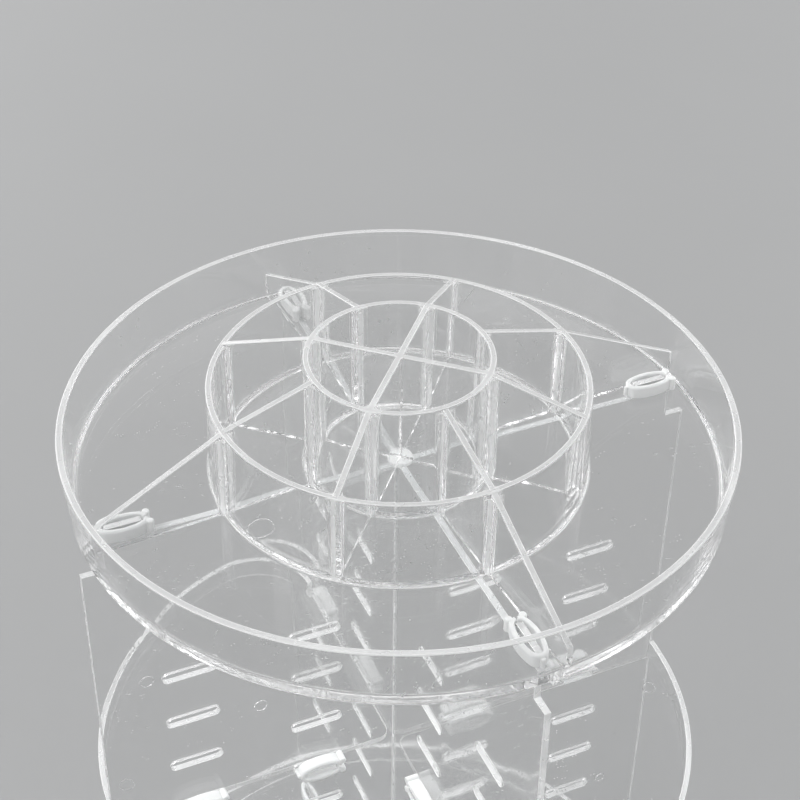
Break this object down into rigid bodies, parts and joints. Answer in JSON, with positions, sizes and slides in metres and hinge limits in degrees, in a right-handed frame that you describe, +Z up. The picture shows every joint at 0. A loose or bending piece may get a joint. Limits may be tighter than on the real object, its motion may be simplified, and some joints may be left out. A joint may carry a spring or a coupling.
{
  "type": "rotating storage caddy",
  "caption": "Clear round caddy that turns on a ball-bearing foot, with a divided top tray, crossed slotted panels and clip-on quarter trays.",
  "frame": {"origin": "middle of the footprint on the floor, under the spin axis", "axes": "+Z up along the spin axis; the two panels lie along X and Y"},
  "size_m": [0.23, 0.23, 0.34],
  "materials": {
    "clear_plastic": "clear, glossy, moulded",
    "milky_plastic": "translucent milky white, satin",
    "white_plastic": "plain, slightly oiled",
    "rubber": "matt black",
    "steel": "bright"
  },
  "bodies": {
    "foot": {"foot_shell": "clear_plastic", "foot_pads": "rubber", "pivot_bush": "white_plastic"},
    "bearing": {"ball_cage": "white_plastic", "bearing_balls": "steel"},
    "tower": {"bottom_tray": "clear_plastic", "pivot_screw": "steel", "pivot_washer": "steel", "cross_panel_x": "clear_plastic", "cross_panel_y": "clear_plastic", "top_tray": "clear_plastic", "quarter_tray_front": "clear_plastic", "quarter_tray_back": "clear_plastic", "top_clip_right": "milky_plastic", "top_clip_back": "milky_plastic", "top_clip_left": "milky_plastic", "top_clip_front": "milky_plastic", "bottom_clip_right": "milky_plastic", "bottom_clip_back": "milky_plastic", "bottom_clip_left": "milky_plastic", "bottom_clip_front": "milky_plastic", "front_tray_clip_1": "milky_plastic", "front_tray_clip_2": "milky_plastic", "front_tray_clip_3": "milky_plastic", "front_tray_clip_4": "milky_plastic", "back_tray_clip_1": "milky_plastic", "back_tray_clip_2": "milky_plastic", "back_tray_clip_3": "milky_plastic", "back_tray_clip_4": "milky_plastic"}
  },
  "joints": [
    {"name": "tower_spin", "type": "hinge", "parent": "foot", "child": "tower", "pos_m": [0, 0, 0.0132], "axis": [0, 0, 1], "continuous": true},
    {"name": "bearing_spin", "type": "hinge", "parent": "foot", "child": "bearing", "pos_m": [0, 0, 0.0103], "axis": [0, 0, 1], "continuous": true}
  ],
  "couplings": [
    {"joint": "bearing_spin", "follows": "tower_spin", "ratio": 0.5}
  ]
}
